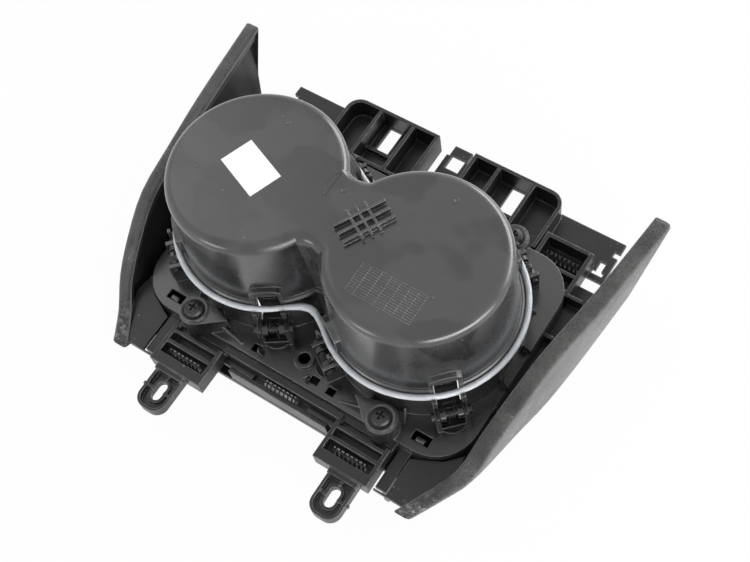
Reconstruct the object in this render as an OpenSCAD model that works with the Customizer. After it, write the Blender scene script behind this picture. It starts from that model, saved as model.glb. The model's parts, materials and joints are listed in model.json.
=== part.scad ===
// Twin cup holder module of a car console, stored upside down on its trim face.
// +Z runs from the trim face to the closed ends of the wells, -Y is the side of the screw tabs.
// All sizes are millimetres.

/* [Cup wells] */
// Distance between the centres of the two cup wells
cup_spacing = 84.6; // [84:0.2:90]
// Outer diameter of a well at its closed end
cup_bottom_d = 84; // [80:0.5:85]
// Height of the closed ends over the face that the part rests on
cup_height = 92; // [84:1:110]
// Wall thickness of the well moulding
well_wall = 2.2; // [1.8:0.1:2.6]
// Growth of the well radius from the closed end to the ledge
cup_taper = 1.6; // [0.8:0.1:2]
// Radius of the rounded edge round the closed ends
bottom_round = 5; // [3:0.5:7]
// Height of the ledge where the wall steps outwards
ledge_z = 47.6; // [47.6:0.5:52]
// Width of the ledge
ledge_w = 2; // [1.5:0.1:2.4]
// Half width of the waist that joins the two wells
waist_half = 19.2; // [15:0.2:21]

/* [Well flange and screws] */
// Height of the upper face of the flange round the wells
flange_z = 22; // [18:0.5:24]
// Thickness of the flange
flange_t = 2.5; // [2:0.1:3]
// Half width of the flange
flange_half_w = 91; // [90:0.5:93]
// Distance from the cup centre line to the front edge of the flange
flange_front = 57; // [55:0.5:58]
// Distance from the cup centre line to the rear edge of the flange
flange_rear = 58; // [55:0.5:59]
// Half distance between the two front screws
front_screw_x = 52.9; // [51:0.1:55]
// Distance from the cup centre line to the front screws
front_screw_y = 54.3; // [53:0.1:56]
// Height of the seat under the front screw heads
front_seat_z = 34; // [30:0.5:36]
// Half distance between the two rear screws
rear_screw_x = 55.5; // [54:0.1:57]
// Distance from the cup centre line to the rear screws
rear_screw_y = 56.5; // [56:0.1:58]
// Height of the seat under the rear screw heads
rear_seat_z = 28; // [26:0.5:29]
// Radius of a screw's shank
screw_r = 2; // [1.5:0.1:2.5]
// Radius of a screw's pan head
screw_head_r = 4.6; // [4:0.1:5.2]
// Length of a screw under its head
screw_len = 16; // [12:0.5:18]

/* [Retaining fingers] */
// Angle of the front finger next to the waist, measured at the left well
inner_front_angle = -57; // [-60:1:-54]
// Angle of the front finger away from the waist
outer_front_angle = -135; // [-140:1:-130]
// Angle of the rear finger next to the waist
inner_rear_angle = 65; // [62:1:68]
// Angle of the rear finger away from the waist
outer_rear_angle = 123; // [120:1:126]
// Radius of the circle that the finger pivots lie on
pivot_r = 51; // [50.5:0.1:52]
// Height of the finger pivots
pivot_z = 33; // [32:0.5:34]
// Radius of a hinge pin
pin_r = 1.5; // [1.2:0.1:1.8]
// Radial running clearance of a pin in its bores
pin_clearance = 0.05; // [0.02:0.01:0.1]
// Width of a finger
finger_w = 10.4; // [9:0.2:11]
// Gap between a finger and the sides of its window
finger_gap = 0.4; // [0.3:0.1:0.6]
// Height of the upper end of a finger
finger_top_z = 54; // [52:0.5:56]
// How far a finger's nose stands into the well
nose_depth = 5.5; // [4:0.5:7]

/* [Light guide] */
// Radius of the circle that the light guide follows round a well
guide_ring_r = 47.4; // [47.4:0.1:48]
// Diameter of the light guide
guide_d = 3.2; // [2.2:0.1:3.2]
// Height of the light guide's centre line
guide_z = 46; // [45.5:0.1:46]
// Distance from the centre line to the guide's front corner at the waist
guide_waist_front = 27; // [26:0.5:28]
// Distance from the centre line to the guide's rear corner at the waist
guide_waist_rear = 31; // [29:0.5:32]

/* [Carrier frame] */
// Thickness of the frame's walls
frame_wall = 2.4; // [2:0.1:3]
// Thickness of the frame's floor plates
floor_t = 2.5; // [2:0.1:3]
// Half distance between the slots of the two screw tabs
tab_x = 49.8; // [48:0.1:51]
// Distance from the cup centre line to the slot centres
tab_slot_y = 92.8; // [91:0.1:95]
// Width of a tab's tongue
tab_w = 15.5; // [14:0.5:17]
// Distance from the cup centre line to the ends of the tabs
tab_reach = 103.4; // [102:0.1:105]
// Height of the tab's upper face
tab_z = 16; // [14:0.5:17]
// Width of a tab's slot
slot_w = 5.4; // [4.4:0.1:6]
// Length of a tab's slot
slot_l = 10; // [8:0.5:11]
// Half width of the front rail's lip
rail_half_w = 28; // [26:0.5:29]
// Distance from the cup centre line to the front of the rail's lip
rail_front = 67; // [66:0.5:69]
// Height of the lattice ribs behind the wells
rib_z = 15; // [12:0.5:17]
// Thickness of the lattice ribs
rib_t = 1.8; // [1.4:0.1:2.4]
// Distance from the cup centre line to the rear wall of the lattice
lattice_rear = 95; // [93:0.5:97]
// Distance from the cup centre line to the end of the rear middle tab
rear_reach = 100; // [99:0.5:103]

/* [Trim and side wings] */
// Thickness of the trim panel
trim_t = 3; // [2.5:0.1:3.4]
// Thickness of a wing's moulded wall
wing_wall = 2.4; // [2:0.1:3]
// Thickness of the soft skin on a wing
skin_t = 1; // [0.8:0.1:1.4]
// Width of the rolled lip along a wing's free edge
wing_lip = 7; // [6:0.5:8]
// Lean of the wing's rear edge, as run over rise
rear_lean = 0.35; // [0.2:0.05:0.4]
// Lean of the wing's edge below its front tip, as run over rise
front_lean = 0.9; // [0.5:0.05:0.9]

/* [Rib grid and label] */
// Length of the long bars in the rib grid under the bridge
grid_bar_l = 25; // [20:1:27]
// Height of the rib grid
grid_h = 2.8; // [1.5:0.1:3]
// Length of the blank label
label_l = 24.5; // [20:0.5:28]
// Width of the blank label
label_w = 16.4; // [12:0.2:18]

/* [Hidden] */
$fn = 48;
eps = 0.01;
seat_gap = 0.05;

// The origin lies in the middle of the part's length, so the cup centre line is set off from it
line_y = (tab_reach - rear_reach) / 2;
cup_x = cup_spacing / 2;
well_r = cup_bottom_d / 2;
ledge_r = well_r + cup_taper;
low_r = ledge_r + ledge_w;
mouth_z = trim_t;
carrier_top = flange_z - flange_t;
angles = [inner_front_angle, outer_front_angle, inner_rear_angle, outer_rear_angle];
win_half = finger_w / 2 + finger_gap;
win_lo = pivot_z - 6;
win_hi = finger_top_z + 3;
cheek_t = 1.8;
cheek_out = pivot_r + 3.4;
knob_r = 2.2;
knob_t = 1.6;
knob_gap = 0.2;
hub_r = 3.1;
sill_top = flange_z + 3;
back_out = ledge_r - 1;
back_t = 1.6;
guide_r = guide_d / 2;
boss_r = 6.6;
tower_r = 7.6;
// How much fuller the waist's fillet is than one that would run smoothly into the wells
waist_ease = 3.4;

module placed() translate([0, line_y, 0]) children();
module both() { children(); mirror([1, 0, 0]) children(); }
module at_left(a) translate([-cup_x, 0, 0]) rotate([0, 0, a]) children();

// Cup well: revolved outer and inner forms, joined by a waist with flared edges
function edge_arc(r, z, round) = [for (i = [0:8]) let (t = i * 90 / 8)
    [r - round + round * cos(t), z - round + round * sin(t)]];
module well_form(inset, low) {
    top = cup_height - inset;
    round = bottom_round - inset;
    step_z = ledge_z - inset;
    rotate_extrude($fn = 96) polygon(concat(
        [[0, low], [low_r + 0.6 - inset, low], [low_r - inset, step_z - 1],
         [low_r - 1 - inset, step_z], [ledge_r - inset, step_z]],
        edge_arc(well_r - inset, top, round), [[0, top]]));
}
function waist_fillet(r, h) = (cup_x * cup_x + h * h - r * r) / (2 * (r - h)) + waist_ease;
module waist_form(inset, low) {
    r = well_r - inset;
    h = waist_half - inset;
    fillet = waist_fillet(r, h);
    top = cup_height - inset;
    round = bottom_round - inset;
    half = cup_x * (fillet + round) / (r + fillet);
    reach = (h + fillet) * r / (r + fillet) + 1;
    difference() {
        translate([-half, -reach, low]) cube([2 * half, 2 * reach, top - low]);
        for (s = [-1, 1]) translate([0, s * (h + fillet), 0])
            rotate_extrude($fn = 72) polygon(concat(
                [[0, low - 1], [fillet, low - 1]],
                [for (i = [0:8]) let (t = i * 90 / 8)
                    [fillet + round - round * cos(t), top - round + round * sin(t)]],
                [[fillet + round, top + 1], [0, top + 1]]));
    }
}
module wells(inset, low) {
    both() translate([-cup_x, 0, 0]) well_form(inset, low);
    waist_form(inset, low);
    translate([-cup_x / 2, -waist_half - ledge_w + inset, low])
        cube([cup_x, 2 * (waist_half + ledge_w - inset), ledge_z - inset - low]);
}
function rounded_box(x, y0, y1, r, n = 8) = concat(
    [for (i = [0:n]) let (t = -90 + i * 90 / n) [x - r + r * cos(t), y0 + r + r * sin(t)]],
    [for (i = [0:n]) let (t = i * 90 / n) [x - r + r * cos(t), y1 - r + r * sin(t)]],
    [for (i = [0:n]) let (t = 90 + i * 90 / n) [-x + r + r * cos(t), y1 - r + r * sin(t)]],
    [for (i = [0:n]) let (t = 180 + i * 90 / n) [-x + r + r * cos(t), y0 + r + r * sin(t)]]);
flange_round = 21;
module flange_outline(inset = 0) polygon(rounded_box(flange_half_w - inset,
    -flange_front + inset, flange_rear - inset, flange_round - inset));
// A teardrop with its round end at the origin and its point along +X
function teardrop(r, l) = let (a = acos(r / l))
    concat([for (i = [0:12]) let (t = a + i * (360 - 2 * a) / 12) [r * cos(t), r * sin(t)]], [[l, 0]]);
module screw_tower(x, y, seat, turn) translate([x, y, 0]) {
    translate([0, 0, carrier_top]) rotate([0, 0, turn]) linear_extrude(seat - 1 - carrier_top)
        polygon(teardrop(tower_r, 17));
    translate([0, 0, carrier_top]) cylinder(r = boss_r, h = seat - carrier_top);
}
module window_frame(a) at_left(a) {
    for (s = [-1, 1]) {
        // cheek that carries the pin, down to the flange
        translate([low_r - 1.2, s * (win_half + cheek_t / 2) - cheek_t / 2, carrier_top])
            cube([cheek_out - low_r + 1.2, cheek_t, pivot_z + 3.4 - carrier_top]);
        // upper side post beside the window
        translate([ledge_r - 1.6, s * (win_half + cheek_t / 2) - cheek_t / 2, guide_z + guide_r + 0.3])
            cube([3.8, cheek_t, win_hi + 0.5 - guide_z - guide_r]);
        // hook that holds the light guide
        translate([0, s * (win_half + 0.9) - 0.9, 0]) rotate([90, 0, 0]) translate([0, 0, -1.8])
            linear_extrude(1.8) polygon([[low_r - 1, guide_z - guide_r - 2.4],
                [guide_ring_r + guide_r + 1.7, guide_z - guide_r - 2.4],
                [guide_ring_r + guide_r + 1.7, guide_z + 1.2],
                [guide_ring_r + guide_r + 0.3, guide_z + 1.2],
                [guide_ring_r + guide_r + 0.3, guide_z - guide_r - 0.3],
                [low_r - 1, guide_z - guide_r - 0.3]]);
    }
    // arched head of the frame over the window
    translate([ledge_r - 1.6, 0, win_hi]) rotate([90, 0, 90]) linear_extrude(3.8)
        polygon(concat([[-win_half - cheek_t, -1], [win_half + cheek_t, -1]],
            [for (i = [0:8]) let (t = i * 180 / 8)
                [(win_half + cheek_t) * cos(t), 3 * sin(t)]]));
    // sill between the cheeks
    translate([cheek_out - 2, -win_half - 1, carrier_top]) cube([2, 2 * win_half + 2, sill_top - carrier_top]);
}
module window_cut(a) at_left(a) {
    translate([well_r - 12, -win_half, win_lo]) cube([14, 2 * win_half, win_hi - win_lo]);
    translate([ledge_r - 6, -win_half, win_lo]) cube([9, 2 * win_half, ledge_z + 0.5 - win_lo]);
    translate([pivot_r, 0, pivot_z]) rotate([90, 0, 0])
        cylinder(r = pin_r + pin_clearance, h = 4 * win_half, center = true);
}
grid_x = 16;
grid_y = 0.6;
grid_turn = 60.5;
module rib_grid() translate([grid_x, grid_y, cup_height - eps]) rotate([0, 0, grid_turn]) {
    for (i = [-1:1]) translate([-grid_bar_l / 2, i * 4.6 - 0.6, 0]) cube([grid_bar_l, 1.2, grid_h]);
    // short ribs across the bars
    for (i = [-1:1]) translate([i * 4.3 - 0.6, -7.5, 0]) cube([1.2, 16.5, grid_h * 0.8]);
}
snap_x = flange_half_w - 25;
// Small windows along the front of the flange: centre along X and Y
flange_windows = [[-20.3, -52.2], [12.8, -51.6], [22.5, -52.4]];
module cup_well() color("#1b1c1e") placed() difference() {
    union() {
        wells(0, mouth_z);
        translate([0, 0, carrier_top]) linear_extrude(flange_t) flange_outline();
        for (a = angles) both() window_frame(a);
        both() screw_tower(-front_screw_x, -front_screw_y, front_seat_z, 12);
        both() screw_tower(-rear_screw_x, rear_screw_y, rear_seat_z, -38);
        rib_grid();
        // boss between the wells at the front
        translate([3, -45.5, carrier_top]) cylinder(r = 5, h = flange_t + 2.2);
    }
    wells(well_wall, mouth_z - 1);
    for (a = angles) both() window_cut(a);
    both() {
        translate([-front_screw_x, -front_screw_y, -1]) cylinder(r = screw_r + seat_gap, h = 60);
        translate([-rear_screw_x, rear_screw_y, -1]) cylinder(r = screw_r + seat_gap, h = 60);
        // snap window in the flange
        translate([snap_x, 4.5 - flange_front, carrier_top - 1]) cube([9, 5, flange_t + 2]);
    }
    for (w = flange_windows) translate([w[0] - 2.3, w[1] - 1.9, carrier_top - 1]) cube([4.6, 3.8, flange_t + 2]);
    translate([3, -45.5, carrier_top - 1]) cylinder(r = 3, h = flange_t + 5);
}

// Carrier frame: ring under the flange, front rail with screw tabs, rear lattice
ring_low = trim_t;
module ring_wall() {
    difference() {
        translate([0, 0, ring_low]) linear_extrude(carrier_top - ring_low) flange_outline();
        translate([0, 0, ring_low - 1]) linear_extrude(carrier_top + 2) flange_outline(frame_wall);
    }
    // posts under the screw ears
    both() {
        translate([-front_screw_x, -front_screw_y, ring_low])
            cylinder(r = boss_r, h = carrier_top - ring_low);
        translate([-rear_screw_x, rear_screw_y, ring_low])
            cylinder(r = boss_r, h = carrier_top - ring_low);
    }
}
module tab_outline(inset = 0) {
    half = tab_w / 2 - inset;
    round = 6 - inset;
    polygon(concat([[half, -tab_slot_y + 14], [-half, -tab_slot_y + 14]],
        [for (i = [0:6]) let (t = 180 + i * 15)
            [-half + round + round * cos(t), -tab_reach + inset + round + round * sin(t)]],
        [for (i = [0:6]) let (t = 270 + i * 15)
            [half - round + round * cos(t), -tab_reach + inset + round + round * sin(t)]]));
}
module slot_shape(w, l) {
    square([w, l - w], center = true);
    for (s = [-1, 1]) translate([0, s * (l - w) / 2]) circle(d = w);
}
tab_rim = 1.4;
tab_rim_h = 3;
module screw_tab() translate([-tab_x, 0, 0]) {
    difference() {
        union() {
            translate([0, 0, tab_z - floor_t]) linear_extrude(floor_t) tab_outline();
            translate([0, 0, tab_z - floor_t]) linear_extrude(floor_t + tab_rim_h) difference() {
                tab_outline();
                tab_outline(tab_rim);
            }
            translate([0, -tab_slot_y, tab_z - floor_t]) linear_extrude(floor_t + 1.6)
                slot_shape(slot_w + 3, slot_l + 3);
            for (s = [-1, 1]) translate([s * (tab_w / 4 + 1.3) - tab_w / 4, -tab_slot_y - 0.7, tab_z - eps])
                cube([tab_w / 2 - 1, 1.4, 2]);
            translate([-0.7, -tab_slot_y + slot_l / 2 + 1, tab_z - eps]) cube([1.4, 4, 2]);
        }
        translate([0, -tab_slot_y, 0]) linear_extrude(tab_z + 10) slot_shape(slot_w, slot_l);
    }
    // stepped root of the tab
    translate([-tab_w / 2, -tab_slot_y + 8, tab_z - floor_t]) cube([tab_w, 3.4, floor_t + 5]);
}
bracket_out = 12;
bracket_in = 17;
bracket_top = 23;
bracket_back = front_screw_y + tower_r + 0.4;
pocket_y = 72;
module tab_bracket() translate([-tab_x, 0, 0]) {
    difference() {
        union() {
            translate([-bracket_out, -tab_slot_y + 10.5, tab_z - floor_t])
                cube([bracket_out + bracket_in, tab_slot_y - 10.5 - bracket_back, bracket_top - tab_z + floor_t]);
            // lower step that runs under the flange to the ring
            translate([-bracket_out, -bracket_back - 1, tab_z - floor_t])
                cube([bracket_out + bracket_in, bracket_back + 2 - flange_front, carrier_top - tab_z + floor_t]);
        }
        // pocket that takes the spring clip
        translate([-bracket_out + 2, -pocket_y - 5, tab_z]) cube([bracket_out + bracket_in - 4, 5.6, 20]);
        translate([-bracket_out + 2, -pocket_y + 2.4, tab_z]) cube([bracket_out + bracket_in - 4, 4, 20]);
        translate([-bracket_out + 2, -pocket_y + 8, tab_z + 1]) cube([bracket_out + bracket_in - 4, 3.4, 20]);
    }
    // lug beside the tab's root
    translate([tab_w / 2 + 1.5, -tab_slot_y + 11.5, tab_z - floor_t - 2]) cube([6.5, 4, 6]);
}
module front_rail() {
    // stepped rail: upper shelf, riser and lip
    translate([-tab_x + bracket_in - 1, 0, 0]) rotate([90, 0, 90])
        linear_extrude(2 * (tab_x - bracket_in + 1)) polygon([
            [-flange_front + 1, ring_low], [-flange_front - 4.5, ring_low], [-flange_front - 4.5, bracket_top - 1.5],
            [-flange_front - 1, bracket_top - 1.5], [-flange_front - 1, carrier_top], [-flange_front + 1, carrier_top]]);
    translate([-rail_half_w, 0, 0]) rotate([90, 0, 90]) linear_extrude(2 * rail_half_w) polygon([
        [-flange_front - 4, ring_low + 3], [-rail_front, ring_low + 3], [-rail_front, ring_low + 13],
        [-rail_front + 2, ring_low + 13], [-rail_front + 2, ring_low + 10.5], [-flange_front - 4, ring_low + 10.5]]);
}
plate_out = flange_half_w - 21.8;
side_floor_z = ring_low + wing_wall + 0.1;
module side_plates() both() {
    // narrow plate between the bracket's slit and the wing's corner
    translate([-plate_out, -78.5, tab_z - 1.5]) cube([5.7, 79.5 - flange_front, floor_t]);
    translate([-plate_out, -78.5, ring_low]) cube([frame_wall, 79.5 - flange_front, tab_z - 1.5 - ring_low + eps]);
    // ribs and floor between the ring and the wing
    for (y = [-20, 24, 47]) translate([-flange_half_w - 6.6, y, side_floor_z]) cube([7.6, rib_t, 10]);
    translate([-flange_half_w - 6.6, -20, side_floor_z]) cube([7.6, 69, floor_t]);
}
lattice_front = 62.5;
lattice_ribs = [12.5, 26.5, 46.5];
lattice_out = 63.5;
box_x = flange_half_w - 26.5;
module lattice_outline(inset = 0) {
    r = 8 - inset;
    polygon(concat([[lattice_ribs[0] - rib_t + inset, lattice_front + inset], [lattice_out - inset, lattice_front + inset]],
        [for (i = [0:6]) let (t = i * 15)
            [lattice_out - inset - r + r * cos(t), lattice_rear - inset - r + r * sin(t)]],
        [[lattice_ribs[0] - rib_t + inset, lattice_rear - inset]]));
}
module lattice() both() {
    difference() {
        translate([0, 0, 0.5]) linear_extrude(rib_z - 0.5) lattice_outline();
        translate([0, 0, 0.5 + floor_t]) linear_extrude(rib_z) lattice_outline(rib_t);
        // through window between the two ribs, and the lowered front edge of the outer pocket
        translate([33.5, 77, -1]) cube([7.5, 16, rib_z]);
        translate([lattice_ribs[2] + 3, lattice_front - 1, 9]) cube([12, 4, rib_z]);
    }
    for (x = lattice_ribs) translate([x - rib_t, lattice_front, 0.5]) cube([rib_t, lattice_rear - lattice_front - 1, rib_z - 0.5]);
    translate([lattice_ribs[1] - 1, 74.5, 0.5]) cube([lattice_ribs[2] - lattice_ribs[1] + 1, rib_t, 6]);
    // floor level flange outside the lattice, with a notch
    difference() {
        translate([lattice_out - 1, 67, 0.5]) cube([36, 24.5, floor_t]);
        translate([92, 70, -1]) cube([3, 8, 10]);
        translate([90.5, 70, -1]) cube([6, 2.6, 10]);
        translate([95.5, 82.5, -1]) cube([5, 3.4, 10]);
    }
    // open box that holds the rear spring clip
    difference() {
        translate([box_x, 47, ring_low]) cube([25.5, 26.5, rib_z - ring_low]);
        translate([box_x + 2, 50, ring_low + floor_t]) cube([21.5, 21.5, rib_z]);
    }
    translate([box_x + 1.5, 58, ring_low + 1]) cube([22.5, rib_t, 9]);
    translate([61, lattice_front - 1.5, 0.5]) cube([max(6, box_x - 58.5), 6, floor_t + 4]);
}
module rear_bridge() {
    // middle tab at floor level, with a square hole
    difference() {
        union() {
            translate([-6.5, lattice_front - 1, 0.5]) cube([13, rear_reach - lattice_front - 5.5, floor_t]);
            translate([-5, lattice_front - 1, 0.5]) cube([10.5, rear_reach - lattice_front + 1, floor_t]);
        }
        translate([-3.6, 86, -1]) cube([8, 8.6, 10]);
    }
    // cross wall that carries the lattice behind the ring
    translate([-lattice_out, lattice_front - 1.5, 0.5]) cube([2 * lattice_out, 2.5, 7]);
    translate([-lattice_out, flange_rear - 1, ring_low]) cube([2 * lattice_out, lattice_front - flange_rear + 1, floor_t]);
}
module carrier_frame() color("#232426") placed() difference() {
    union() {
        ring_wall();
        both() { screw_tab(); tab_bracket(); }
        front_rail();
        side_plates();
        lattice();
        rear_bridge();
    }
    both() {
        translate([-front_screw_x, -front_screw_y, ring_low + 2]) cylinder(r = screw_r + seat_gap, h = 60);
        translate([-rear_screw_x, rear_screw_y, ring_low + 2]) cylinder(r = screw_r + seat_gap, h = 60);
    }
    wells_room();
}
// Room that the wells need inside the frame
module wells_room() both() translate([-cup_x, 0, -1]) cylinder(r = low_r + 0.9, h = 60, $fn = 96);

// Wing stations, chosen by hand: distance along Y, how far the bottom and upper edges stand out from
// the flange, and height
stations = [for (s = [[-84.4, -6.6, -5.5, 19.6], [-70, -1.5, 2, 21], [-56, 3.3, 9.8, 27], [-40, 7, 13, 39],
    [-20, 10.5, 16.4, 49], [5, 15, 19.2, 51.6], [40, 18.2, 24.4, 51.4], [86.5, 21, 29.4, 51]])
    [s[0], flange_half_w + s[1], flange_half_w + s[2], s[3]]];
ns = len(stations);
function pick(i) = stations[max(0, min(ns - 1, i))];
function spline(i, t) = let (a = pick(i - 1), b = pick(i), c = pick(i + 1), d = pick(i + 2))
    0.5 * (2 * b + (c - a) * t + (2 * a - 5 * b + 4 * c - d) * t * t + (3 * b - a - 3 * c + d) * t * t * t);
wing_rings = [for (i = [0:ns - 2]) for (j = [0:2]) spline(i, j / 3), stations[ns - 1]];
foot_w = 5;
// Depth of the fold over the lip's edge, and the glue gap under the skin
fold = 1.6;
glue = 0.3;
// Section of the wing's moulded wall, as offsets from the station's edges
function wall_section(s, k) = let (xb = s[1] - k, xt = s[2] - k, zt = s[3] - k, w = wing_wall,
    foot = trim_t, lip = wing_lip - k)
    [[xb, 0], [xt, zt - 2], [xt - 0.6, zt - 0.6], [xt - 2, zt], [xt - lip, zt], [xt - lip, zt - 5],
     [xt - lip + 1.6, zt - 5], [xt - lip + 1.6, zt - w], [xt - w, zt - w - 1], [xb - w, foot + w],
     [xb - foot_w, foot + w], [xb - foot_w, foot], [xb - w - 0.3, foot], [xb - w + 0.2, 0]];
function skin_section(s, k) = let (xb = s[1], xt = s[2], zt = s[3], xi = xt - wing_lip)
    [[xb, 0], [xt, zt - 2.4], [xt - 0.7, zt - 0.7], [xt - 2.4, zt], [xi - 0.5, zt], [xi - k - 0.1, zt - 0.8],
     [xi - k - 0.1, zt - fold], [xi - seat_gap, zt - fold], [xi - seat_gap, zt - k + seat_gap],
     [xt - k - 2, zt - k + seat_gap], [xt - k - 0.6 + seat_gap, zt - k - 0.6 + seat_gap],
     [xt - k + seat_gap, zt - k - 2], [xb - k + seat_gap, 0]];
// Lean of a section in the YZ plane: forwards at the rear edge, backwards below the front tip
function lean_at(y) = rear_lean * pow(max(0, (y + 40) / 126.5), 2) - front_lean * pow(max(0, (-45 - y) / 39.4), 1.6);
function ring_points(s, sec) = [for (p = sec) [p[0], s[0] + lean_at(s[0]) * (p[1] - s[3]), p[1]]];
module loft(rings) {
    n = len(rings[0]);
    m = len(rings);
    polyhedron(points = [for (r = rings) each r], convexity = 6, faces = concat(
        [[for (i = [n - 1:-1:0]) i]],
        [[for (i = [0:n - 1]) (m - 1) * n + i]],
        [for (j = [0:m - 2]) for (i = [0:n - 1]) each
            [[j * n + i, (j + 1) * n + (i + 1) % n, (j + 1) * n + i],
             [j * n + i, j * n + (i + 1) % n, (j + 1) * n + (i + 1) % n]]]));
}
corner_in = flange_half_w - 27.5;
module corner_web(z, t) translate([0, 0, z]) linear_extrude(t) polygon(concat(
    [for (p = [[-27.5, -80.3], [-8, -80.3], [-3.9, -70], [0.8, -56], [-0.4, -46], [-7, -53]])
        [flange_half_w + p[0], p[1]]],
    [[plate_out + 0.8, -60], [plate_out + 0.8, -79.5], [corner_in, -79.5]]));
module wing_body() {
    loft([for (s = wing_rings) ring_points(s, wall_section(s, skin_t + glue))]);
    corner_web(15.6, 2.2);
}
module wing_skin() {
    loft([for (s = wing_rings) ring_points(s, skin_section(s, skin_t))]);
}
module right_wing() color("#2a2b2d") placed() wing_body();
module left_wing() color("#2a2b2d") placed() mirror([1, 0, 0]) wing_body();
module right_wing_skin() color("#3a3b3d") placed() wing_skin();
module left_wing_skin() color("#3a3b3d") placed() mirror([1, 0, 0]) wing_skin();

// Trim panel: the face that the part rests on, with the two mouths
trim_front = 66;
trim_rear = lattice_front - 2;
function inner_edge(s) = [s[1] - skin_t - wing_wall - 0.7, s[0] - lean_at(s[0]) * s[3]];
// The panel's right side runs along the inner face of the wing's wall
function trim_side() = [for (s = wing_rings) if (inner_edge(s)[1] < trim_rear) inner_edge(s)];
module trim_edge() let (e = trim_side(), n = len(e)) polygon(concat(
    e, [[e[n - 1][0], trim_rear], [-e[n - 1][0], trim_rear]], [for (i = [n - 1:-1:0]) [-e[i][0], e[i][1]]]));
module trim_panel() color("#303134") placed() difference() {
    linear_extrude(trim_t) trim_edge();
    translate([0, 0, -1]) both() translate([-cup_x, 0, 0])
        cylinder(r = low_r + 0.6 - well_wall - 0.8, h = 10, $fn = 96);
    translate([-cup_x / 2, -waist_half - ledge_w + well_wall + 0.8, -1])
        cube([cup_x, 2 * (waist_half + ledge_w - well_wall - 0.8), 10]);
}

// Light guide: a clear rod round both wells, with straight runs to a corner at the waist
guide_front = inner_front_angle + 4;
guide_back = inner_rear_angle - 4;
guide_steps = 30;
guide_sides = 8;
function guide_arc() = [for (i = [0:guide_steps])
    let (t = guide_back + i * (360 - guide_back + guide_front) / guide_steps)
    [-cup_x + guide_ring_r * cos(t), guide_ring_r * sin(t)]];
// The closed route, seen from above: left well, front corner, right well, rear corner
function guide_route() = let (a = guide_arc())
    concat(a, [[0, -guide_waist_front]], [for (i = [len(a) - 1:-1:0]) [-a[i][0], a[i][1]]], [[0, guide_waist_rear]]);
module light_guide() color("#dfe6ea") placed() {
    p = guide_route();
    n = len(p);
    m = guide_sides;
    polyhedron(convexity = 8, points = [for (i = [0:n - 1])
        let (d0 = unit(p[i] - p[(i + n - 1) % n]), d1 = unit(p[(i + 1) % n] - p[i]),
             d = unit(d0 + d1), side = [d[1], -d[0]], stretch = 1 / (d * d1))
        for (j = [0:m - 1]) let (t = (j + 0.5) * 360 / m)
            [p[i][0] + side[0] * guide_r * cos(t) * stretch, p[i][1] + side[1] * guide_r * cos(t) * stretch,
             guide_z + guide_r * sin(t)]],
        faces = [for (i = [0:n - 1]) for (j = [0:m - 1]) let (k = (i + 1) % n, l = (j + 1) % m) each
            [[i * m + j, k * m + l, k * m + j], [i * m + j, i * m + l, k * m + l]]]);
}

label_turn = -21.5;
module label() color("white") placed() translate([-43.8, -1, cup_height]) rotate([0, 0, label_turn])
    translate([-label_l / 2, -label_w / 2, 0]) cube([label_l, label_w, 0.15]);

// Pan head screws with a cross recess
module screw(x, y, seat) translate([x, y, seat]) difference() {
    union() {
        translate([0, 0, -screw_len]) cylinder(r = screw_r, h = screw_len + 1);
        rotate_extrude() polygon([[0, 0], [screw_head_r, 0], [screw_head_r, 1.2], [screw_head_r - 0.8, 2.2],
            [screw_head_r - 2.2, 2.9], [0, 3.1]]);
    }
    for (t = [0, 90]) rotate([0, 0, t]) translate([-2.2, -0.45, 1.4]) cube([4.4, 0.9, 3]);
}
module screws() color("#2e2f31") placed() for (s = [-1, 1]) {
    screw(s * front_screw_x, -front_screw_y, front_seat_z);
    screw(s * rear_screw_x, rear_screw_y, rear_seat_z);
}

// Folded sheet clips with a row of teeth
clip_l = 17;
clip_t = 0.5;
clip_h = 1.65;
module spring_clip() {
    rotate([90, 0, 90]) translate([0, 0, -clip_l / 2]) linear_extrude(clip_l) polygon([
        [-clip_h, 0], [clip_h, 0], [clip_h, 5], [clip_h - 0.9, 6.5], [clip_h - 0.9 - clip_t, 6.2],
        [clip_h - clip_t, 4.8], [clip_h - clip_t, clip_t], [-clip_h + clip_t, clip_t],
        [-clip_h + clip_t, 4.8], [-clip_h + 0.9 + clip_t, 6.2], [-clip_h + 0.9, 6.5], [-clip_h, 5]]);
}
module toothed_clip() difference() {
    spring_clip();
    for (i = [-3:3]) translate([i * 2.4 - 0.5, -4, 2]) cube([1, 8, 6]);
}
module spring_clips() color("#8a8c90") placed() {
    for (s = [-1, 1]) {
        translate([s * (tab_x - 2.5), -pocket_y - 2.2, tab_z]) toothed_clip();
        translate([s * (box_x + 12.7), 65.3, ring_low + floor_t]) toothed_clip();
    }
    translate([1, -rail_front + 3.75, ring_low + 10.5]) toothed_clip();
}

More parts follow.
